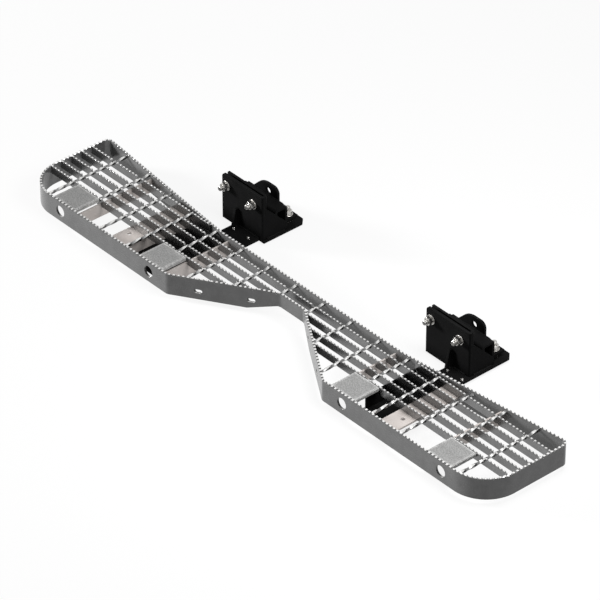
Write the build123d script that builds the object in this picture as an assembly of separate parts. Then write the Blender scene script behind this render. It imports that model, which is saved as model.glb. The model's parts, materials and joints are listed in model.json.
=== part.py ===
from build123d import *
import os
from math import sqrt

# Rear access step for a van or truck: a panel of open serrated grating inside a deep serrated band,
# carried by two plate brackets that bolt to the chassis. Millimetres, +Z up, +X along the step.
# Drawn from the outer face of the front band (y = 0), the tips of the teeth (z = 0) and the middle
# of the step (x = 0). The whole part is then moved so that its origin is the middle of its box's floor.

# Outline of the grating, to the outer face of the band
STEP_LENGTH = 1535
DEPTH_MIDDLE = 200
DEPTH_ENDS = 250
BACK_STRAIGHT = 600
MOUTH_WIDTH = 520
NECK_WIDTH = 80
NECK_DEPTH = 141
FRONT_CORNER_R = 90
BACK_CORNER_R = 18
BEND_R = 18
FLARE_R = 60

# Band
BAND_T = 5
BAND_H = 54
NECK_BAND_H = 36
RELIEF_TOP_WIDTH = 90
RELIEF_FOOT_WIDTH = 208
LIGHT_HOLE_D = 28
LIGHT_HOLE_FROM_MOUTH = 63.5
LIGHT_HOLE_FROM_END = 131.5
LIGHT_HOLE_Z = -27
SLOT_WIDTH = 17
SLOT_HEIGHT = 10
SLOT_Z = -32.5
SLOTS_FROM_MOUTH = (61, 164)

# Teeth: a flat tip and a V notch
TOOTH_PITCH = 11
TIP_WIDTH = 5
NOTCH_DEPTH = 4

# Bearing bars, counted from the back band forwards, and the square tie rods let into their tops
BAR_PITCH = 30
BAR_T = 4
BAR_H = 20
BAR_ROWS = 5
ROD_SIZE = 8
ROD_PITCH = 91.4
ROD_FROM_END = 82
ROD_FIT = 0.1

# Tread plates, folded down at both sides: one beside the mouth and one over the last rod but one
TREAD_FROM_MOUTH = 61
TREAD_FROM_ROD = 31.9
TREAD_WIDTH = 78
TREAD_T = 2.5
TREAD_LIP = 8
TREAD_GAP = 0.3

# Upright ribs lapped under the bars
RIB_T = 4
RIB_TOP = -12
RIB_FROM_MOUTH = 20
RIB_FROM_END = 184.5
INNER_RIB_FOOT = -50
OUTER_RIB_FOOT = -46
LAP_FIT = 0.15

# Angles that carry the bars on the brackets
ANGLE_X = 432
ANGLE_WIDTH = 50
ANGLE_T = 5
ANGLE_HOLE_D = 10
ANGLE_HOLE_INSET = 20
ANGLE_HOLE_Y = (56, 203)

# Brackets: the left one is drawn, and the right one's chassis plates stand BRACKET_PITCH further on
PLATE_T = 6
BRACKET_PITCH = 684
BRACKET_EDGE = -276
BRACKET_WIDTH = 139
FOLD_R = 8
WELD_R = 4
BASE_LEDGE = 5
BASE_FRONT_Y = 27
BASE_INNER_X = (-287, 341)
ARM_X = ((-370, -288), (347, 413))
ARM_START_Y = 198
WALL_FRONT_Y = 52
BASE_REAR_Y = 421
BASE_CHAMFER = 12
UPRIGHT_Y = 294
UPRIGHT_TOP = 61
UPRIGHT_CORNER_R = 8
RETURN_DEPTH = 22
RETURN_TOP = 56
CHEEK_TOP = 33
CHEEK_TOE_Y = 365
CHEEK_TOE_TOP = -33
GUSSET_X = (-362, 351)
GUSSET_TOP = -8
GUSSET_TOP_REACH = 8
GUSSET_REACH = 18

# Channel behind the upright, and the hanger plate behind it with its lug
CHANNEL_Y = 332
CHANNEL_WIDTH = 36
CHANNEL_TOP = 8.5
HANGER_RIGHT = -284
HANGER_TOP = 0
HANGER_FLANGE = -37
HANGER_REAR_Y = 406
LUG_FOOT_X = -399
LUG_LEFT = -363
LUG_RIGHT = -309
LUG_TOP = 36
LUG_R = 16
LUG_SHOULDER_R = 50
LUG_HOLE = (-342, 16)
LUG_HOLE_D = 16

# Fasteners: usual metric sizes, M12 and M6. Their shanks and holes have flat sides too small to see
SHANK_SIDES = 16
WASHER_SIDES = 24
BOLT_D = 12
BOLT_FIT = 0.5
NUT_AF = 18
NUT_H = 10.8
HEAD_H = 7.5
WASHER_D = 24
WASHER_T = 2.5
THREAD_SHOW = 9
FRONT_BOLTS = ((-399, 34), (-307.5, 30))
REAR_BOLT = (-299, 389)
ARM_BOLT_X = ((-353, -303), (361, 406))
ARM_BOLT_Y = 275
ARM_BOLT_D = 6
ARM_HEAD_AF = 10
ARM_HEAD_H = 4
ARM_SHOW = 6

# Sizes that follow
SIDES = {"left": -1, "right": 1}
MOUTH_CORNER = MOUTH_WIDTH / 2
STEP_END = STEP_LENGTH / 2
LIGHT_HOLE_X = (MOUTH_CORNER + LIGHT_HOLE_FROM_MOUTH, STEP_END - LIGHT_HOLE_FROM_END)
INNER_RIB_X = MOUTH_CORNER + RIB_FROM_MOUTH
OUTER_RIB_X = STEP_END - RIB_FROM_END
RODS_PER_SIDE = round((STEP_END - ROD_FROM_END) / ROD_PITCH + 0.5)
TREAD_X = (MOUTH_CORNER + TREAD_FROM_MOUTH, ROD_PITCH * (RODS_PER_SIDE - 1.5) + TREAD_FROM_ROD)
BAR_Y = [DEPTH_MIDDLE - BAND_T / 2 - BAR_PITCH * row for row in range(BAR_ROWS)]
FLARE = (DEPTH_ENDS - DEPTH_MIDDLE) / (STEP_END - BACK_STRAIGHT / 2)
ROD_Z = -NOTCH_DEPTH - ROD_SIZE / 2
NOTCH_WIDTH = TOOTH_PITCH - TIP_WIDTH
PLATE_TOP = -BAND_H
PLATE_UNDER = PLATE_TOP - PLATE_T
FLOOR_Z = PLATE_UNDER - HEAD_H
CUT = 200
ORIGIN = Pos(0, -BASE_REAR_Y / 2, -FLOOR_Z)


def save(name, shape):
    export_step(ORIGIN * shape, f"parts/{name}.step")


def block(x0, x1, y0, y1, z0, z1):
    middle = Pos((x0 + x1) / 2, (y0 + y1) / 2, (z0 + z1) / 2)
    return middle * Box(x1 - x0, y1 - y0, z1 - z0)


def seen_from_front(points, y, thick):
    """A plate drawn in x and z, standing with its front face at y."""
    face = make_face(Polyline(*points, close=True))
    return Pos(0, y + thick, 0) * extrude(Plane.XZ * face, thick)


def near(shape, x, y):
    return [v for v in shape.vertices() if abs(v.X - x) < 0.5 and abs(v.Y - y) < 0.5]


# Grating


def outline():
    """The step seen from above, to the outer face of the band."""
    half = [
        (NECK_WIDTH / 2, NECK_DEPTH, BEND_R),
        (MOUTH_CORNER, 0, BEND_R),
        (STEP_END, 0, FRONT_CORNER_R),
        (STEP_END, DEPTH_ENDS, BACK_CORNER_R),
        (BACK_STRAIGHT / 2, DEPTH_MIDDLE, FLARE_R),
    ]
    points = [(x, y) for x, y, r in half] + [(-x, y) for x, y, r in reversed(half)]
    face = make_face(Polyline(*points, close=True))
    for x, y, radius in half:
        face = fillet(near(face, x, y) + near(face, -x, y), radius)
    return face


def well(face):
    """The space inside the band, where bars, rods and ribs are trimmed to fit it."""
    inside = offset(face, amount=-BAND_T)
    return extrude(Pos(0, 0, -BAND_H) * inside, BAND_H)


def notch():
    """One notch's cutter, across the local x axis."""
    corners = ((0, -NOTCH_DEPTH), (NOTCH_WIDTH, NOTCH_DEPTH), (-NOTCH_WIDTH, NOTCH_DEPTH))
    return extrude(Plane.XZ * make_face(Polyline(*corners, close=True)), 2 * BAND_T, both=True)


def ring(face, inside):
    """The whole band: toothed top, relieved foot at the neck, light holes and slots."""
    band = extrude(Pos(0, 0, -BAND_H) * face, BAND_H) - inside
    edge = face.faces()[0].outer_wire()
    count = round(edge.length / TOOTH_PITCH)
    cutter = notch()
    teeth = []
    for index in range(count):
        share = (index + 0.5) / count
        here = Plane(edge.position_at(share), x_dir=edge.tangent_at(share), z_dir=(0, 0, 1))
        teeth.append(here.location * cutter)
    band -= teeth

    foot = ((-RELIEF_FOOT_WIDTH / 2, -BAND_H), (-RELIEF_TOP_WIDTH / 2, -NECK_BAND_H))
    foot += tuple((-x, z) for x, z in reversed(foot))
    band -= seen_from_front(foot, 0, NECK_DEPTH + 2 * BAND_T)

    for side in SIDES.values():
        for x in LIGHT_HOLE_X:
            hole = Cylinder(LIGHT_HOLE_D / 2, 4 * BAND_T, rotation=(90, 0, 0))
            band -= Pos(side * x, 0, LIGHT_HOLE_Z) * hole
        for inset in SLOTS_FROM_MOUTH:
            y = NECK_DEPTH * inset / (MOUTH_CORNER - NECK_WIDTH / 2)
            slot = extrude(SlotOverall(SLOT_WIDTH, SLOT_HEIGHT), 2 * BAND_T, both=True)
            band -= Pos(side * (MOUTH_CORNER - inset), y, SLOT_Z) * Rot(90, 0, 0) * slot
    return band


def band_strips(band):
    """The band as it is welded up: butt joints over the ribs."""
    half = RIB_T / 2
    back = band & block(-OUTER_RIB_X, OUTER_RIB_X, BAR_Y[1], DEPTH_ENDS + BAND_T, -BAND_H, 0)
    front = band & block(-INNER_RIB_X, INNER_RIB_X, -BAND_T, BAR_Y[1], -BAND_H, 0)
    ends = band - back - front
    save("back_band", back)
    save("neck_band", front)
    for name, side in SIDES.items():
        save(f"{name}_pad_band", [s for s in ends.solids() if side * s.center().X > 0][0])


def comb():
    """A bearing bar seen from the front, the whole length of the step, with its rod seats."""
    teeth = int(STEP_LENGTH / TOOTH_PITCH / 2) + 1
    points = []
    for index in range(-teeth, teeth + 1):
        x = index * TOOTH_PITCH
        points += [(x - TIP_WIDTH / 2, 0), (x + TIP_WIDTH / 2, 0)]
        points += [(x + TOOTH_PITCH / 2, -NOTCH_DEPTH)]
    ends = [(points[-1][0], -BAR_H), (points[0][0], -BAR_H)]
    face = make_face(Polyline(*points, *ends, close=True))
    seat_depth = -ROD_Z + ROD_SIZE / 2
    for x in rod_places():
        face -= Pos(x, -seat_depth / 2) * Rectangle(ROD_SIZE + 2 * ROD_FIT, seat_depth)
    return face


def rod_places():
    right = [ROD_PITCH * (index + 0.5) for index in range(RODS_PER_SIDE)]
    return [-x for x in reversed(right)] + right


def bars(inside):
    """The back row only fills the flares, and the next runs through. The others stop at the neck."""
    profile = comb()
    flare_start = BACK_STRAIGHT / 2 + (BAND_T * sqrt(1 + FLARE**2) - (BAND_T - BAR_T) / 2) / FLARE
    for row, y in enumerate(BAR_Y):
        solid = Pos(0, y + BAR_T / 2, 0) * extrude(Plane.XZ * profile, BAR_T)
        trimmed = solid & inside
        if row == 0:
            trimmed -= block(-flare_start, flare_start, 0, DEPTH_ENDS, -BAND_H, 1)
        if len(trimmed.solids()) == 1:
            save(f"bar_row_{row + 1}", trimmed)
            continue
        for name, side in SIDES.items():
            half = [s for s in trimmed.solids() if side * s.center().X > 0]
            save(f"bar_row_{row + 1}_{name}", half[0])


def tie_rods(inside):
    rods = []
    for x in rod_places():
        rod = Pos(x, DEPTH_ENDS / 2, ROD_Z) * Box(ROD_SIZE, 2 * DEPTH_ENDS, ROD_SIZE)
        rods += (rod & inside).solids()
    save("tie_rods", Compound(rods))


def rib(x, foot, inside):
    plate = block(x - RIB_T / 2, x + RIB_T / 2, 0, DEPTH_ENDS, foot, RIB_TOP) & inside
    half = BAR_T / 2 + LAP_FIT
    for y in BAR_Y:
        plate -= block(x - RIB_T, x + RIB_T, y - half, y + half, -BAR_H, 0)
    return plate


def tread_plate(x):
    """A plate folded down at both sides, resting on the rods between the front band and a bar."""
    top = -NOTCH_DEPTH + TREAD_T
    front = BAND_T + TREAD_GAP
    length = BAR_Y[-1] - BAR_T / 2 - TREAD_GAP - front
    half = TREAD_WIDTH / 2
    middle = [(-half, top - TREAD_LIP), (-half, top), (half, top), (half, top - TREAD_LIP)]
    outer = make_face(Polyline(*middle, close=True))
    outer = fillet(near(outer, -half, top) + near(outer, half, top), TREAD_T)
    hollow = Pos(0, top - TREAD_T - TREAD_LIP / 2) * Rectangle(TREAD_WIDTH - 2 * TREAD_T, TREAD_LIP)
    return Pos(x, front + length, 0) * extrude(Plane.XZ * (outer - hollow), length)


def support_angle(side, inside):
    """An angle under the bars, standing on the bracket's outer edge."""
    inner = ANGLE_X - ANGLE_T
    outer = ANGLE_X - ANGLE_T + ANGLE_WIDTH
    points = [(inner, -BAND_H), (inner, -BAR_H), (outer, -BAR_H)]
    points += [(outer, -BAR_H - ANGLE_T), (ANGLE_X, -BAR_H - ANGLE_T), (ANGLE_X, -BAND_H)]
    angle = seen_from_front([(side * x, z) for x, z in points], 0, DEPTH_ENDS) & inside
    for y in ANGLE_HOLE_Y:
        angle -= Pos(side * (outer - ANGLE_HOLE_INSET), y, -BAR_H) * Cylinder(ANGLE_HOLE_D / 2, CUT / 4)
    return angle


# Brackets


def shank_hole(diameter):
    """A clearance hole's cutter along z, half on each side of z = 0."""
    return extrude(RegularPolygon(diameter / 2 + BOLT_FIT, SHANK_SIDES), CUT / 2, both=True)


def base_plate(number, shift):
    """The flat plate under the step, its arm to the chassis, and the wall folded up at its edge."""
    inner = BASE_INNER_X[number]
    outer = (-ANGLE_X, ANGLE_X)[number]
    arm_left, arm_right = ARM_X[number]
    right = BRACKET_EDGE + BASE_LEDGE + shift
    left = right - BASE_LEDGE - BRACKET_WIDTH
    low, high = sorted((inner, outer))
    points = [(low, BASE_FRONT_Y), (high, BASE_FRONT_Y), (high, ARM_START_Y)]
    points += [(arm_right, ARM_START_Y), (arm_right, UPRIGHT_Y)]
    if right != arm_right:
        points += [(right, UPRIGHT_Y)]
    points += [(right, BASE_REAR_Y - BASE_CHAMFER), (right - BASE_CHAMFER, BASE_REAR_Y)]
    points += [(left, BASE_REAR_Y), (left, UPRIGHT_Y), (arm_left, UPRIGHT_Y)]
    points += [(arm_left, ARM_START_Y), (low, ARM_START_Y)]
    points = [p for place, p in enumerate(points) if p != points[place - 1]]
    face = make_face(Polyline(*points, close=True))
    face = fillet(near(face, arm_left, UPRIGHT_Y), FOLD_R)
    plate = extrude(Pos(0, 0, PLATE_UNDER) * face, PLATE_T)
    plate -= Pos(REAR_BOLT[0] + shift, REAR_BOLT[1], 0) * shank_hole(BOLT_D)
    for x in ARM_BOLT_X[number]:
        plate -= Pos(x, ARM_BOLT_Y, 0) * shank_hole(ARM_BOLT_D)
    wall_to = inner + (PLATE_T if inner > 0 else -PLATE_T)
    wall = block(*sorted((inner, wall_to)), WALL_FRONT_Y, DEPTH_MIDDLE - BAND_T, PLATE_TOP, -BAR_H)
    return plate + wall


def upright(shift):
    """The front plate, its right edge dressed round after welding to the cheek."""
    right = BRACKET_EDGE + shift
    left = right - BRACKET_WIDTH
    plate = block(left, right, UPRIGHT_Y, UPRIGHT_Y + PLATE_T, PLATE_TOP, UPRIGHT_TOP)
    upright_edges = plate.edges().filter_by(Axis.Z).sort_by(Axis.X)[-2:]
    plate = fillet(upright_edges.sort_by(Axis.Y)[0], WELD_R)
    corner = plate.edges().filter_by(Axis.Y).filter_by(lambda edge: edge.center().Z > UPRIGHT_TOP - 1)
    plate = fillet(corner.sort_by(Axis.X)[0], UPRIGHT_CORNER_R)
    for x, z in FRONT_BOLTS:
        plate -= Pos(x + shift, UPRIGHT_Y, z) * Rot(90, 0, 0) * shank_hole(BOLT_D)
    return plate


def cheek(shift):
    """The sloping side plate between the upright and the chassis end of the base."""
    start = UPRIGHT_Y + PLATE_T
    points = [(start, PLATE_TOP), (CHEEK_TOE_Y, PLATE_TOP), (CHEEK_TOE_Y, CHEEK_TOE_TOP)]
    points += [(start, CHEEK_TOP)]
    plate = extrude(Plane.YZ * make_face(Polyline(*points, close=True)), PLATE_T)
    return Pos(BRACKET_EDGE - PLATE_T + shift, 0, 0) * plate


def return_plate(shift):
    """A bent plate that boxes in the back of the upright, with its bolt heads in the gap."""
    right = BRACKET_EDGE - PLATE_T + shift
    left = BRACKET_EDGE - BRACKET_WIDTH + shift
    front = UPRIGHT_Y + PLATE_T
    rear = UPRIGHT_Y + RETURN_DEPTH
    plan = make_face(Polyline(
        (left, rear - PLATE_T), (right - PLATE_T, rear - PLATE_T), (right - PLATE_T, front),
        (right, front), (right, rear), (left, rear), close=True))
    plan = fillet(near(plan, right, rear), FOLD_R)
    plan = fillet(near(plan, right - PLATE_T, rear - PLATE_T), FOLD_R - PLATE_T)
    return extrude(Pos(0, 0, PLATE_TOP) * plan, RETURN_TOP - PLATE_TOP)


def gusset(number):
    """The narrow web between the arm and the front plate."""
    points = [(UPRIGHT_Y - GUSSET_REACH, PLATE_TOP), (UPRIGHT_Y, PLATE_TOP), (UPRIGHT_Y, GUSSET_TOP)]
    points += [(UPRIGHT_Y - GUSSET_TOP_REACH, GUSSET_TOP)]
    web = extrude(Plane.YZ * make_face(Polyline(*points, close=True)), PLATE_T)
    return Pos(GUSSET_X[number] - PLATE_T / 2, 0, 0) * web


def channel(shift, side_plate):
    """An upside-down channel along the back of the bracket, coped over the cheek."""
    rear = CHANNEL_Y + CHANNEL_WIDTH
    points = [(CHANNEL_Y, PLATE_TOP), (CHANNEL_Y, CHANNEL_TOP), (rear, CHANNEL_TOP), (rear, PLATE_TOP)]
    outer = make_face(Polyline(*points, close=True))
    outer = fillet(near(outer, CHANNEL_Y, CHANNEL_TOP) + near(outer, rear, CHANNEL_TOP), FOLD_R)
    middle = Pos(CHANNEL_Y + CHANNEL_WIDTH / 2, (CHANNEL_TOP - PLATE_T + PLATE_TOP) / 2)
    hollow = Rectangle(CHANNEL_WIDTH - 2 * PLATE_T, CHANNEL_TOP - PLATE_T - PLATE_TOP)
    hollow = fillet(hollow.vertices().sort_by(Axis.Y)[-2:], FOLD_R - PLATE_T)
    section = outer - middle * hollow
    left = BRACKET_EDGE - BRACKET_WIDTH
    return Pos(left + shift, 0, 0) * extrude(Plane.YZ * section, BRACKET_WIDTH) - side_plate


def hanger(shift):
    """The chassis hanger: a plate with a lug, folded back at its foot into a bolting flange."""
    front = CHANNEL_Y + CHANNEL_WIDTH
    under = HANGER_FLANGE - PLATE_T
    left = BRACKET_EDGE - BRACKET_WIDTH
    section = [(front, under), (HANGER_REAR_Y, under), (HANGER_REAR_Y, HANGER_FLANGE)]
    section += [(front + PLATE_T, HANGER_FLANGE), (front + PLATE_T, LUG_TOP), (front, LUG_TOP)]
    fold = make_face(Polyline(*section, close=True))
    fold = fillet(near(fold, front, under), FOLD_R)
    fold = fillet(near(fold, front + PLATE_T, HANGER_FLANGE), FOLD_R - PLATE_T)
    sheet = Pos(left, 0, 0) * extrude(Plane.YZ * fold, HANGER_RIGHT - left)

    edge = [(left, under), (left, HANGER_TOP), (LUG_FOOT_X, HANGER_TOP), (LUG_LEFT, LUG_TOP)]
    edge += [(LUG_RIGHT, LUG_TOP), (LUG_RIGHT, HANGER_TOP), (HANGER_RIGHT, HANGER_TOP)]
    edge += [(HANGER_RIGHT, under)]
    shape = make_face(Polyline(*edge, close=True))
    shape = fillet(near(shape, LUG_RIGHT, LUG_TOP), LUG_R)
    shape = fillet(near(shape, LUG_LEFT, LUG_TOP), LUG_SHOULDER_R)
    sheet &= Pos(0, HANGER_REAR_Y, 0) * extrude(Plane.XZ * shape, HANGER_REAR_Y - front)
    lug_hole = Cylinder(LUG_HOLE_D / 2, 4 * PLATE_T, rotation=(90, 0, 0))
    sheet -= Pos(LUG_HOLE[0], front, LUG_HOLE[1]) * lug_hole
    sheet -= Pos(*REAR_BOLT) * shank_hole(BOLT_D)
    return Pos(shift, 0, 0) * sheet


# Fasteners, each drawn standing on z = 0


def hexagon(across, height):
    return extrude(RegularPolygon(across / 2, 6, major_radius=False), height)


def shank(diameter, length):
    return extrude(RegularPolygon(diameter / 2, SHANK_SIDES), length)


def washer():
    return extrude(RegularPolygon(WASHER_D / 2, WASHER_SIDES), WASHER_T) - shank_hole(BOLT_D)


def nut():
    return hexagon(NUT_AF, NUT_H) - shank(BOLT_D, NUT_H)


def bolt(diameter, across, head, length):
    """Head down, shank up."""
    return hexagon(across, head) + shank(diameter, head + length)


def brackets():
    """Both brackets, then their fasteners as groups."""
    groups = {"front_bolts": [], "front_nuts": [], "front_washers": [], "rear_bolts": [],
              "rear_washers": [], "rear_nuts": [], "arm_screws": []}
    toward_front = Rot(90, 0, 0)
    for number, name in enumerate(SIDES):
        shift = number * BRACKET_PITCH
        side_plate = cheek(shift)
        save(f"{name}_base_plate", base_plate(number, shift))
        save(f"{name}_upright", upright(shift))
        save(f"{name}_cheek", side_plate)
        save(f"{name}_return_plate", return_plate(shift))
        save(f"{name}_gusset", gusset(number))
        save(f"{name}_channel", channel(shift, side_plate))
        save(f"{name}_hanger", hanger(shift))

        for x, z in FRONT_BOLTS:
            here = Pos(x + shift, 0, z)
            length = PLATE_T + WASHER_T + NUT_H + THREAD_SHOW
            head_at = UPRIGHT_Y + PLATE_T + HEAD_H
            groups["front_bolts"].append(
                here * Pos(0, head_at, 0) * toward_front * bolt(BOLT_D, NUT_AF, HEAD_H, length))
            groups["front_washers"].append(here * Pos(0, UPRIGHT_Y, 0) * toward_front * washer())
            groups["front_nuts"].append(
                here * Pos(0, UPRIGHT_Y - WASHER_T, 0) * toward_front * nut())

        stud = Pos(REAR_BOLT[0] + shift, REAR_BOLT[1], 0)
        length = HANGER_FLANGE + WASHER_T + NUT_H + THREAD_SHOW - PLATE_UNDER
        groups["rear_bolts"].append(stud * Pos(0, 0, FLOOR_Z) * bolt(BOLT_D, NUT_AF, HEAD_H, length))
        groups["rear_washers"].append(stud * Pos(0, 0, HANGER_FLANGE) * washer())
        groups["rear_nuts"].append(stud * Pos(0, 0, PLATE_TOP) * nut())
        groups["rear_nuts"].append(stud * Pos(0, 0, HANGER_FLANGE + WASHER_T) * nut())

        for x in ARM_BOLT_X[number]:
            screw = bolt(ARM_BOLT_D, ARM_HEAD_AF, ARM_HEAD_H, PLATE_T + ARM_SHOW)
            groups["arm_screws"].append(Pos(x, ARM_BOLT_Y, PLATE_UNDER - ARM_HEAD_H) * screw)
    for name, pieces in groups.items():
        save(name, Compound([s for piece in pieces for s in piece.solids()]))


def grating():
    face = outline()
    inside = well(face)
    band_strips(ring(face, inside))
    bars(inside)
    tie_rods(inside)
    for name, side in SIDES.items():
        save(f"{name}_inner_rib", rib(side * INNER_RIB_X, INNER_RIB_FOOT, inside))
        save(f"{name}_outer_rib", rib(side * OUTER_RIB_X, OUTER_RIB_FOOT, inside))
        save(f"{name}_support_angle", support_angle(side, inside))
        save(f"{name}_inner_tread", tread_plate(side * TREAD_X[0]))
        save(f"{name}_outer_tread", tread_plate(side * TREAD_X[1]))


os.makedirs("parts", exist_ok=True)
grating()
brackets()
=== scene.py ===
import json
from functools import partial
from math import cos, pi, radians, sin, tan

import bmesh
import bpy
from mathutils import Matrix, Vector

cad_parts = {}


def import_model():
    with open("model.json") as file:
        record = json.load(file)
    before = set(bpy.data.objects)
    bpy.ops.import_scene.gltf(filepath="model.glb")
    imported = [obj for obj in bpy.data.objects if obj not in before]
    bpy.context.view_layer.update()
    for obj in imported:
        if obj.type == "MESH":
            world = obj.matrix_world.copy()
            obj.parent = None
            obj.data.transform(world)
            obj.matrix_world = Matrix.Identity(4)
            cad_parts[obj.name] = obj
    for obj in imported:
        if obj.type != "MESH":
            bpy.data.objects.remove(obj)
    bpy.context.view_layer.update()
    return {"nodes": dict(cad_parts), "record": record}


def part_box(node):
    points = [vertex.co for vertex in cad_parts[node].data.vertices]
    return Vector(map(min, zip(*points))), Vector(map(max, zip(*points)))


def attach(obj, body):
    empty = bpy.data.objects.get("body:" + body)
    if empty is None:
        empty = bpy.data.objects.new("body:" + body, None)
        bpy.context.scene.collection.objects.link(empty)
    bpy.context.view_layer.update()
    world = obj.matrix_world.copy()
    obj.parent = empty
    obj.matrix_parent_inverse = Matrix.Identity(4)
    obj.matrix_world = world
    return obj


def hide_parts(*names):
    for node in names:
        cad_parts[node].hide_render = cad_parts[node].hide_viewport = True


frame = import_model()

# Camera, fitted to the photograph: a long lens from high on the right of the step's front
PHOTO_PIXELS = 600
FOCAL_PIXELS = 4650
SENSOR_MILLIMETRES = 36.0
AZIMUTH = radians(48.86)
ELEVATION = radians(35.74)
AIM = Vector((-0.0124, -0.0348, 0.0481))
DISTANCE = 10.231
FARTHEST_SEEN = 100.0

# Light: a low key lamp at the front left, and a small one over the right end
WHITE = (1.0, 1.0, 1.0, 1.0)
WORLD_LEVEL = 0.18
KEY_WATTS = 900
KEY_SIZE = 2.0
KEY_AZIMUTH = radians(-57)
KEY_ELEVATION = radians(15)
KEY_DISTANCE = 8.0
TOP_WATTS = 17
TOP_SIZE = 0.8
TOP_PLACE = Vector((0.75, 0.1, 1.25))
FLOOR_SIZE = 14.0
FLOOR_GREY = 0.15
FLOOR_GLOW = 0.88

# What the materials share, with depths and radii in metres
NOISE_RANGE = (0.3, 0.7)
SPARKLE_RANGE = (0.35, 0.65)
NOISE_ROUGHNESS = 0.55
BEVEL_SAMPLES = 4
MOTTLE = 0.1
STEEL_EDGE = 0.0006
GRAIN_DEPTH = 0.0002
GRAIN_STRENGTH = 0.2
WORN_EDGE = (0.85, 0.85, 0.84)
LEAST_WEAR = 0.2

# Cosines: how far a softened edge turns before it is made paler, and how nearly a face looks up to get the
# painted highlight from above
EDGE_TURN = (0.99, 0.80)
CUT_RISE = (0.75, 0.95)

# The sockets of a mix node that carry its share and its colours
MIX_INPUTS = (0, 6, 7)
MIX_RESULT = 2

# Fasteners, in metres
M12_RADIUS = 0.006
M12_HEAD = 0.0075
M12_THREAD = 0.009
M6_RADIUS = 0.003
M6_HEAD = 0.004
M6_THREAD = 0.006
WASHER_PLAY = 0.0005

# The axis that a fastener lies along, and its way on it
TO_FRONT = (1, -1)
UPWARD = (2, 1)

# Shares that a fastener's smaller sizes are of its larger ones, and the slope of its chamfers
PITCH_SHARE = 0.145
DEPTH_SHARE = 0.6
FLAT_SHARE = 0.95
NUT_EASE = 0.03
WASHER_EASE = 0.12
CHAMFER_SLOPE = tan(radians(30))

# Meshes: steps around, rows in one turn of a thread, the sharpest smooth edge, and lengths that count as none
ROUND_STEPS = 48
THREAD_ROWS = 4
SMOOTH_TO = radians(28)
SAME_PLACE = 1e-6
NO_LENGTH = 1e-7

# Rods and welds, in metres
TWIST_LENGTH = 0.12
TWIST_STEP = 0.0025
ROD_CORNERS = 4
BEAD_RADIUS = 0.0032
BEAD_INSET = 2 * BEAD_RADIUS
BEAD_SIDES = 12
RIPPLE_LENGTH = 0.0022
RIPPLE_SHARE = 0.12
RIPPLE_ROWS = 4


# Material tools


def new_tree(name):
    """An empty material, its tree of nodes and its output."""
    material = bpy.data.materials.new(name)
    material.use_nodes = True
    tree = material.node_tree
    tree.nodes.clear()
    return material, tree, tree.nodes.new("ShaderNodeOutputMaterial")


def node(tree, kind, inputs=None, **settings):
    """A new node. Each input that is named gets another node's output, or a plain value."""
    made = tree.nodes.new(kind)
    for key, value in settings.items():
        setattr(made, key, value)
    for key, value in (inputs or {}).items():
        if isinstance(value, bpy.types.NodeSocket):
            tree.links.new(value, made.inputs[key])
        else:
            made.inputs[key].default_value = value
    return made


def surface(tree, output, look):
    """The surface of a material, from its plain values and its patterns."""
    skin = node(tree, "ShaderNodeBsdfPrincipled", look)
    tree.links.new(skin.outputs["BSDF"], output.inputs["Surface"])


def grey(level):
    """A colour that has no cast."""
    return (level, level, level)


def noise(tree, per_metre, detail):
    """Noise on the object's own coordinates, with so many patterns a metre along x, y and z."""
    place = node(tree, "ShaderNodeTexCoord").outputs["Object"]
    scaled = node(tree, "ShaderNodeMapping", {"Vector": place, "Scale": per_metre}).outputs["Vector"]
    look = {"Vector": scaled, "Scale": 1.0, "Detail": detail, "Roughness": NOISE_ROUGHNESS}
    return node(tree, "ShaderNodeTexNoise", look).outputs["Fac"]


def carried(tree, value, old, new=(0.0, 1.0)):
    """A value carried over from one range to another, and held inside it."""
    ranges = {"From Min": old[0], "From Max": old[1], "To Min": new[0], "To Max": new[1]}
    return node(tree, "ShaderNodeMapRange", {"Value": value, **ranges}).outputs["Result"]


def spread(tree, pattern, low, high):
    """A pattern's values, spread from low to high."""
    return carried(tree, pattern, NOISE_RANGE, (low, high))


def combined(tree, operation, first, second):
    """One value made from two."""
    return node(tree, "ShaderNodeMath", {0: first, 1: second}, operation=operation).outputs["Value"]


def shades(tree, pattern, dark, pale, reach=NOISE_RANGE):
    """Colours from dark to pale, where the pattern goes from low to high."""
    made = node(tree, "ShaderNodeValToRGB", {"Fac": pattern})
    for element, place, colour in zip(made.color_ramp.elements, reach, (dark, pale)):
        element.position = place
        element.color = (*colour, 1.0)
    return made.outputs["Color"]


def mixed(tree, share, under, over, blend="MIX"):
    """A share of one colour over another."""
    inputs = dict(zip(MIX_INPUTS, (share, under, over)))
    return node(tree, "ShaderNodeMix", inputs, data_type="RGBA", blend_type=blend).outputs[MIX_RESULT]


def rounded(tree, radius):
    """A normal that softens sharp edges, so that they catch a line of light."""
    return node(tree, "ShaderNodeBevel", {"Radius": radius}, samples=BEVEL_SAMPLES).outputs["Normal"]


def bump(tree, pattern, under, depth=GRAIN_DEPTH, strength=GRAIN_STRENGTH):
    """The normal that is under it, made uneven by a pattern."""
    inputs = {"Height": pattern, "Normal": under, "Distance": depth, "Strength": strength}
    return node(tree, "ShaderNodeBump", inputs).outputs["Normal"]


def worn(tree, colour, edge_colour, soft, speck):
    """The colour, changed towards the edge colour where an edge is and the specks allow it: a paler edge that
    is partly wear and partly a painted highlight.
    """
    face = node(tree, "ShaderNodeNewGeometry").outputs["Normal"]
    turn = node(tree, "ShaderNodeVectorMath", {0: face, 1: soft}, operation="DOT_PRODUCT")
    edge = carried(tree, turn.outputs["Value"], EDGE_TURN)
    share = combined(tree, "MULTIPLY", edge, spread(tree, speck, LEAST_WEAR, 1.0))
    return mixed(tree, share, colour, (*edge_colour, 1.0))


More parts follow.
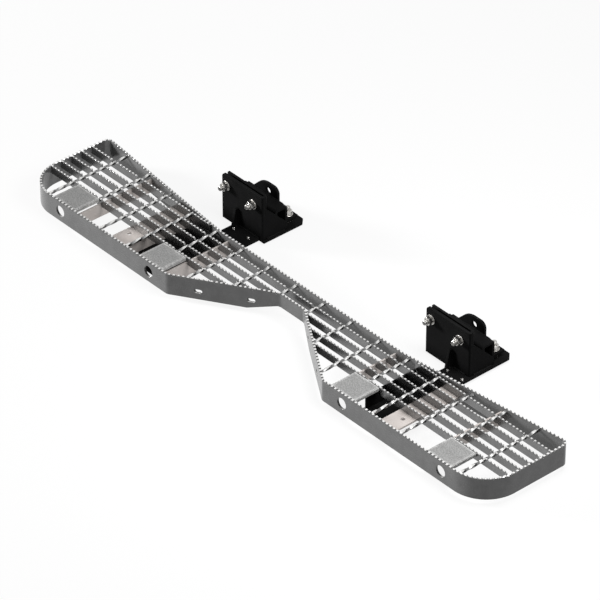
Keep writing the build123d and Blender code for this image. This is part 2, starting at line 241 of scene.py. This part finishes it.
def cut_bright(tree, colour, bright):
    """A painted highlight from above: paler metal on all that faces up, which at the cut tips and notches
    also stands for their bare metal.
    """
    face = node(tree, "ShaderNodeNewGeometry").outputs["True Normal"]
    rise = node(tree, "ShaderNodeSeparateXYZ", {0: face}).outputs["Z"]
    return mixed(tree, carried(tree, rise, CUT_RISE), colour, (*bright, 1.0))


# Materials


def galvanised(name, metallic, level):
    """Zinc coated steel: mottled grey with a fine rolled grain, paler at its edges, and with a painted
    highlight on all that faces up.
    """
    material, tree, output = new_tree(name)
    cloud = noise(tree, per_metre=(45, 45, 45), detail=5)
    grain = noise(tree, per_metre=(160, 900, 900), detail=3)
    speck = noise(tree, per_metre=(500, 500, 500), detail=2)
    soft = rounded(tree, STEEL_EDGE)
    colour = shades(tree, cloud, dark=grey((1 - MOTTLE) * level), pale=grey((1 + MOTTLE) * level))
    # Painted highlight: every face that looks up is made paler, as if lit from above
    colour = cut_bright(tree, colour, bright=(0.74, 0.735, 0.725))
    surface(tree, output, {
        "Metallic": metallic,
        "Specular IOR Level": 0.2,
        "Base Color": worn(tree, colour, grey(0.42), soft, speck),
        "Roughness": spread(tree, grain, low=0.18, high=0.32),
        "Normal": bump(tree, speck, under=bump(tree, grain, under=soft)),
    })
    return material


def band_zinc():
    """The deep toothed bands, dulled by weather."""
    return galvanised("band_zinc", metallic=0.3, level=0.175)


def bar_zinc():
    """The bars and rods inside, still bright enough to mirror what is under them."""
    return galvanised("bar_zinc", metallic=0.95, level=0.2)


def plain_steel():
    """Bare pickled steel of the ribs and angles: paler, with a warm cast."""
    material, tree, output = new_tree("plain_steel")
    cloud = noise(tree, per_metre=(30, 30, 30), detail=4)
    grain = noise(tree, per_metre=(900, 120, 900), detail=3)
    soft = rounded(tree, STEEL_EDGE)
    colour = shades(tree, cloud, dark=(0.57, 0.52, 0.49), pale=(0.64, 0.595, 0.57))
    surface(tree, output, {
        "Metallic": 0.35,
        "Specular IOR Level": 0.4,
        "Base Color": worn(tree, colour, (0.80, 0.78, 0.76), soft, grain),
        "Roughness": spread(tree, grain, low=0.42, high=0.55),
        "Normal": bump(tree, grain, under=soft),
    })
    return material


def tread_plate():
    """The plain plates: a fine sparkling grain on rolled steel, with a painted highlight along the rim."""
    material, tree, output = new_tree("tread_plate")
    cloud = noise(tree, per_metre=(30, 60, 60), detail=5)
    speck = noise(tree, per_metre=(380, 380, 380), detail=3)
    soft = rounded(tree, radius=0.001)
    # The rim's wide softened edge carries a painted highlight: the plate goes nearly white along its rim
    rim = rounded(tree, radius=0.009)
    pale = shades(tree, cloud, dark=(0.255, 0.255, 0.252), pale=(0.30, 0.30, 0.297))
    colour = worn(tree, pale, WORN_EDGE, rim, cloud)
    sparkle = shades(tree, speck, dark=grey(0.68), pale=grey(1.30), reach=SPARKLE_RANGE)
    surface(tree, output, {
        "Metallic": 0.05,
        "Specular IOR Level": 0.1,
        "Base Color": mixed(tree, 1.0, colour, sparkle, blend="MULTIPLY"),
        "Roughness": spread(tree, speck, low=0.50, high=0.65),
        "Normal": bump(tree, speck, under=soft, depth=0.0003, strength=0.35),
    })
    return material


def black_paint():
    """Satin powder coat with a fine orange peel, and a painted highlight that makes its edges a little grey.
    """
    material, tree, output = new_tree("black_paint")
    peel = noise(tree, per_metre=(420, 420, 420), detail=2)
    cloud = noise(tree, per_metre=(25, 25, 25), detail=4)
    soft = rounded(tree, radius=0.0012)
    colour = shades(tree, cloud, dark=(0.0072, 0.0072, 0.0073), pale=(0.0100, 0.0100, 0.0102))
    surface(tree, output, {
        "Metallic": 0.0,
        "Specular IOR Level": 0.01,
        # Painted highlight: the edges are made a little grey
        "Base Color": worn(tree, colour, grey(0.026), soft, peel),
        "Roughness": spread(tree, cloud, low=0.40, high=0.52),
        "Normal": bump(tree, peel, under=soft, depth=0.0004, strength=0.3),
    })
    return material


def zinc_plate():
    """Bright zinc on the nuts, bolts and washers."""
    material, tree, output = new_tree("zinc_plate")
    cloud = noise(tree, per_metre=(300, 300, 300), detail=3)
    soft = rounded(tree, radius=0.0004)
    colour = shades(tree, cloud, dark=(0.40, 0.39, 0.37), pale=(0.56, 0.55, 0.53))
    surface(tree, output, {
        "Metallic": 1.0,
        "Base Color": worn(tree, colour, WORN_EDGE, soft, cloud),
        "Roughness": spread(tree, cloud, low=0.18, high=0.32),
        "Normal": bump(tree, cloud, under=soft),
    })
    return material


# Studio


def seen_by_eye(tree):
    """One for the camera, in gloss and through glass, and nought for the light between surfaces."""
    path = node(tree, "ShaderNodeLightPath").outputs
    seen = combined(tree, "MAXIMUM", path["Is Camera Ray"], path["Is Glossy Ray"])
    return combined(tree, "MAXIMUM", seen, path["Is Transmission Ray"])


def white_where_seen(tree, output, shading, share):
    """A share of plain white where it is seen, and otherwise the surface's own shading."""
    glow = node(tree, "ShaderNodeEmission", {"Color": WHITE, "Strength": 1.0})
    white = combined(tree, "MULTIPLY", seen_by_eye(tree), share)
    mix = node(tree, "ShaderNodeMixShader", {"Fac": white, 1: shading, 2: glow.outputs["Emission"]})
    tree.links.new(mix.outputs["Shader"], output.inputs["Surface"])


def floor():
    """A floor that looks white and keeps the shadow, but throws little light back up."""
    material, tree, output = new_tree("floor")
    tone = carried(tree, seen_by_eye(tree), (0.0, 1.0), (FLOOR_GREY, 1.0))
    diffuse = node(tree, "ShaderNodeBsdfDiffuse", {"Color": tone})
    white_where_seen(tree, output, diffuse.outputs["BSDF"], FLOOR_GLOW)
    half = FLOOR_SIZE / 2
    mesh = bpy.data.meshes.new("floor")
    square = [(-half, -half, 0), (half, -half, 0), (half, half, 0), (-half, half, 0)]
    mesh.from_pydata(square, [], [(0, 1, 2, 3)])
    mesh.materials.append(material)
    plane = bpy.data.objects.new("floor", mesh)
    bpy.context.collection.objects.link(plane)


def world():
    """Even light from all around, which looks plain white itself."""
    made = bpy.data.worlds.new("studio")
    bpy.context.scene.world = made
    made.use_nodes = True
    tree = made.node_tree
    tree.nodes.clear()
    output = tree.nodes.new("ShaderNodeOutputWorld")
    light = node(tree, "ShaderNodeBackground", {"Color": WHITE, "Strength": WORLD_LEVEL})
    white_where_seen(tree, output, light.outputs["Background"], 1.0)


def away(azimuth, elevation):
    """A direction out from the step. The azimuth runs from its front, at -Y, towards +X."""
    level = cos(elevation)
    return Vector((sin(azimuth) * level, -cos(azimuth) * level, sin(elevation)))


def lamp(name, place, watts, size):
    """A round lamp that shines on the point that the camera looks at."""
    data = bpy.data.lights.new(name, "AREA")
    data.energy = watts
    data.shape = "DISK"
    data.size = size
    made = bpy.data.objects.new(name, data)
    made.location = place
    made.rotation_euler = (AIM - place).to_track_quat("-Z", "Y").to_euler()
    bpy.context.collection.objects.link(made)


def lights():
    """Both lamps."""
    lamp("key", AIM + away(KEY_AZIMUTH, KEY_ELEVATION) * KEY_DISTANCE, KEY_WATTS, KEY_SIZE)
    lamp("top", TOP_PLACE, TOP_WATTS, TOP_SIZE)


def camera():
    """The camera, standing where the photograph was taken."""
    data = bpy.data.cameras.new("camera")
    data.sensor_width = SENSOR_MILLIMETRES
    data.lens = SENSOR_MILLIMETRES * FOCAL_PIXELS / PHOTO_PIXELS
    data.clip_end = FARTHEST_SEEN
    made = bpy.data.objects.new("camera", data)
    out = away(AZIMUTH, ELEVATION)
    made.location = AIM + out * DISTANCE
    made.rotation_euler = out.to_track_quat("Z", "Y").to_euler()
    bpy.context.collection.objects.link(made)
    bpy.context.scene.camera = made


# Mesh tools


def solids_of(name):
    """The points of each separate solid of a node, in the same order on each run."""
    shape = bmesh.new()
    shape.from_mesh(frame["nodes"][name].data)
    bmesh.ops.remove_doubles(shape, verts=shape.verts, dist=SAME_PLACE)
    found = set()
    solids = []
    for start in shape.verts:
        if start in found:
            continue
        found.add(start)
        solid = [start]
        # The list grows while its own points are followed
        for here in solid:
            for edge in here.link_edges:
                reached = edge.other_vert(here)
                if reached not in found:
                    found.add(reached)
                    solid.append(reached)
        solids.append([point.co.copy() for point in solid])
    shape.free()
    return solids


def corners(points):
    """The lowest and the highest corner of the box around some points."""
    low = Vector([min(point[axis] for point in points) for axis in range(3)])
    high = Vector([max(point[axis] for point in points) for axis in range(3)])
    return low, high


def closed(row):
    """A row drawn together to its middle, which closes an end."""
    middle = sum(row[:-1], Vector()) / (len(row) - 1)
    return [middle] * len(row)


def skin_between(shape, rows, place):
    """Faces between each row of points and the next one, all moved to their place."""
    rows = [[shape.verts.new(place @ point) for point in points] for points in rows]
    for low, high in zip(rows, rows[1:]):
        for step in range(len(low) - 1):
            shape.faces.new((low[step], low[step + 1], high[step + 1], high[step]))


def new_piece(name, shape, finish, replaced=()):
    """A finished object on the root body, smooth except at its sharp edges."""
    bmesh.ops.remove_doubles(shape, verts=shape.verts, dist=SAME_PLACE)
    bmesh.ops.dissolve_degenerate(shape, edges=shape.edges, dist=NO_LENGTH)
    bmesh.ops.recalc_face_normals(shape, faces=shape.faces)
    for face in shape.faces:
        face.smooth = True
    for edge in shape.edges:
        edge.smooth = edge.calc_face_angle(0) < SMOOTH_TO
    mesh = bpy.data.meshes.new(name)
    shape.to_mesh(mesh)
    shape.free()
    mesh.materials.append(finish)
    piece = bpy.data.objects.new(name, mesh)
    bpy.context.collection.objects.link(piece)
    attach(piece, "root")
    if replaced:
        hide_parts(*replaced)


# Fasteners


def hexagon(across, angle):
    """The radius of a hexagon at an angle from the middle of one flat."""
    return across / 2 / cos((angle + pi / 6) % (pi / 3) - pi / 6)


def ring(radius, height):
    """A ring of points. The radius is a number or a function of the angle, and so is the height."""
    points = []
    for step in range(ROUND_STEPS + 1):
        angle = 2 * pi * step / ROUND_STEPS
        r = radius(angle) if callable(radius) else radius
        z = height(angle) if callable(height) else height
        points.append(Vector((r * cos(angle), r * sin(angle), z)))
    return points


def hexagon_rings(across, height):
    """The outside of a hexagon, chamfered at both ends."""
    flat = FLAT_SHARE * across / 2

    def radius(angle):
        return hexagon(across, angle)

    def drop(angle):
        return (hexagon(across, angle) - flat) * CHAMFER_SLOPE

    def top(angle):
        return height - drop(angle)

    return [ring(flat, 0), ring(radius, drop), ring(radius, top), ring(flat, height)]


def nut_rings(across, height, hole):
    """A chamfered hexagon with a hole that is eased at both ends."""
    ease = NUT_EASE * across
    inside = [ring(hole + ease, height), ring(hole, height - ease), ring(hole, ease), ring(hole + ease, 0)]
    rings = hexagon_rings(across, height) + inside
    return rings + rings[:1]


def washer_rings(across, height, hole):
    """A flat ring with eased edges, apart from the lower edge of its hole."""
    outside = across / 2
    ease = WASHER_EASE * height
    return [ring(hole, 0), ring(outside - ease, 0), ring(outside, ease), ring(outside, height - ease),
            ring(outside - ease, height), ring(hole + ease, height), ring(hole, height - ease), ring(hole, 0)]


def thread_rings(crest, start, end):
    """A right-hand thread: rows that climb one pitch a turn, cut off flat at both ends."""
    pitch = PITCH_SHARE * 2 * crest
    root = crest - DEPTH_SHARE * pitch
    rings = []
    for row in range(round((end - start) / pitch * THREAD_ROWS) + THREAD_ROWS + 1):
        depth = root if row % THREAD_ROWS < THREAD_ROWS / 2 else crest

        def height(angle, row=row):
            return min(end, max(start, start + pitch * (row / THREAD_ROWS + angle / (2 * pi) - 1)))

        def radius(angle, depth=depth, height=height):
            return crest if height(angle) <= start else min(depth, root + end - height(angle))

        rings.append(ring(radius, height))
    return rings


def bolt_rings(across, length, radius, head, thread):
    """Head down: a chamfered hexagon, a plain shank and a threaded end."""
    rings = [ring(0, 0)] + hexagon_rings(across, head)
    rings += [ring(radius, head), ring(radius, length - thread)]
    return rings + thread_rings(radius, length - thread, length) + [ring(0, length)]


def stand(low, high, axis, way):
    """Places a fastener drawn up its z axis, with a flat of its hexagon facing across the narrow side."""
    sides = [side for side in range(3) if side != axis]
    narrow = min(sides, key=lambda side: high[side] - low[side])
    z = Vector([way if side == axis else 0 for side in range(3)])
    x = Vector([1 if side == narrow else 0 for side in range(3)])
    foot = (low + high) / 2
    foot[axis] = low[axis] if way > 0 else high[axis]
    turn = Matrix((x, z.cross(x), z)).transposed().to_4x4()
    return Matrix.Translation(foot) @ turn, high[narrow] - low[narrow], high[axis] - low[axis]


def fasteners(finishes):
    """Threaded bolts, chamfered nuts and eased washers, each where its solid is."""
    large = partial(bolt_rings, radius=M12_RADIUS, head=M12_HEAD, thread=M12_THREAD)
    small = partial(bolt_rings, radius=M6_RADIUS, head=M6_HEAD, thread=M6_THREAD)
    nut = partial(nut_rings, hole=M12_RADIUS)
    washer = partial(washer_rings, hole=M12_RADIUS + WASHER_PLAY)
    for name, (axis, way), rings_of, made in (
            ("front_bolts", TO_FRONT, large, "threaded"),
            ("rear_bolts", UPWARD, large, "threaded"),
            ("arm_screws", UPWARD, small, "threaded"),
            ("front_nuts", TO_FRONT, nut, "turned"),
            ("rear_nuts", UPWARD, nut, "turned"),
            ("front_washers", TO_FRONT, washer, "turned"),
            ("rear_washers", UPWARD, washer, "turned")):
        shape = bmesh.new()
        for points in solids_of(name):
            place, across, height = stand(*corners(points), axis, way)
            skin_between(shape, rings_of(across, height), place)
        new_piece(f"{name}_{made}", shape, finishes["zinc_plate"], [name])


# Rods and welds


def rod_rings(points):
    """A twisted square rod inside its solid, cut off along the same slants at both ends."""
    low, high = corners(points)
    middle = (low + high) / 2
    radius = (high.x - low.x) / 2
    left = [point.y for point in points if point.x < middle.x]
    right = [point.y for point in points if point.x > middle.x]

    def along(share, x):
        """The y of a point at a share of the rod's length, for its own x."""
        aside = (x - low.x) / (high.x - low.x)
        first = min(left) + (min(right) - min(left)) * aside
        last = max(left) + (max(right) - max(left)) * aside
        return first + (last - first) * share

    rings = []
    steps = round((high.y - low.y) / TWIST_STEP)
    for step in range(steps + 1):
        turn = 2 * pi * along(step / steps, middle.x) / TWIST_LENGTH
        row = []
        for corner in range(ROD_CORNERS + 1):
            angle = turn + 2 * pi * corner / ROD_CORNERS
            x = middle.x + radius * cos(angle)
            row.append(Vector((x, along(step / steps, x), middle.z + radius * sin(angle))))
        rings.append(row)
    return [closed(rings[0])] + rings + [closed(rings[-1])]


def twisted_rods(finishes):
    """The tie rods as twisted square bars, each inside its straight one."""
    shape = bmesh.new()
    for points in solids_of("tie_rods"):
        skin_between(shape, rod_rings(points), Matrix())
    new_piece("tie_rods_twisted", shape, finishes["bar_zinc"], ["tie_rods"])


def bead_rings(start, end):
    """A weld bead from one point to another, with the ripples of its making."""
    way = (end - start).normalized()
    side = way.orthogonal().normalized()
    other = way.cross(side)
    steps = round((end - start).length / RIPPLE_LENGTH * RIPPLE_ROWS)
    rings = []
    for step in range(steps + 1):
        radius = BEAD_RADIUS * (1 - RIPPLE_SHARE * (step % RIPPLE_ROWS) / (RIPPLE_ROWS - 1))
        middle = start + (end - start) * step / steps
        row = [middle + radius * (side * cos(turn) + other * sin(turn))
               for turn in (2 * pi * part / BEAD_SIDES for part in range(BEAD_SIDES + 1))]
        rings.append(row)
    return [closed(rings[0])] + rings + [closed(rings[-1])]


def bead_lines(side):
    """Where one bracket's folded plates are welded, as pairs of points."""
    gusset_low, gusset_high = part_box(f"{side}_gusset")
    upright_low, upright_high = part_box(f"{side}_upright")
    cheek_low, cheek_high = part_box(f"{side}_cheek")
    channel_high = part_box(f"{side}_channel")[1]
    hanger_low, hanger_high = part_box(f"{side}_hanger")
    face = upright_low[1]
    base_top = upright_low[2]
    lines = []
    for x in (gusset_low[0], gusset_high[0]):
        lines.append(((x, face, base_top + BEAD_INSET), (x, face, gusset_high[2] - BEAD_INSET)))
        lines.append(((x, gusset_low[1] + BEAD_INSET, base_top), (x, face - BEAD_INSET, base_top)))
    first, last = gusset_high[0] + BEAD_INSET, upright_high[0] - 2 * BEAD_INSET
    lines.append(((first, face, base_top), (last, face, base_top)))
    first, last = cheek_low[1] + BEAD_INSET, cheek_high[1] - BEAD_INSET
    lines.append(((cheek_high[0], first, base_top), (cheek_high[0], last, base_top)))
    groove = (hanger_low[1] - BEAD_RADIUS / 2, channel_high[2] - BEAD_RADIUS)
    lines.append(((hanger_low[0] + BEAD_INSET, *groove), (hanger_high[0] - BEAD_INSET, *groove)))
    return lines


def welds(finishes):
    """The beads of both brackets, painted over with them."""
    shape = bmesh.new()
    for side in ("left", "right"):
        for start, end in bead_lines(side):
            skin_between(shape, bead_rings(Vector(start), Vector(end)), Matrix())
    new_piece("bracket_welds", shape, finishes["black_paint"])


# The whole


def finish_of(entry):
    """The finish of a part: its record slot, but bands and bars have each their own zinc."""
    slot = entry["material_slot"]
    if slot != "galvanised":
        return slot
    return "band_zinc" if entry["node"].endswith("band") else "bar_zinc"


def dress(finishes):
    """Gives each part of the frame its finish."""
    for entry in frame["record"]["subparts"]:
        piece = frame["nodes"][entry["node"]]
        for slot in piece.material_slots:
            slot.material = finishes[finish_of(entry)]


def build():
    """The step with its finishes and small detail, in its studio."""
    makers = (band_zinc, bar_zinc, plain_steel, tread_plate, black_paint, zinc_plate)
    finishes = {maker.__name__: maker() for maker in makers}
    dress(finishes)
    fasteners(finishes)
    twisted_rods(finishes)
    welds(finishes)
    floor()
    world()
    lights()
    camera()
    bpy.context.scene.view_settings.view_transform = "Standard"


build()
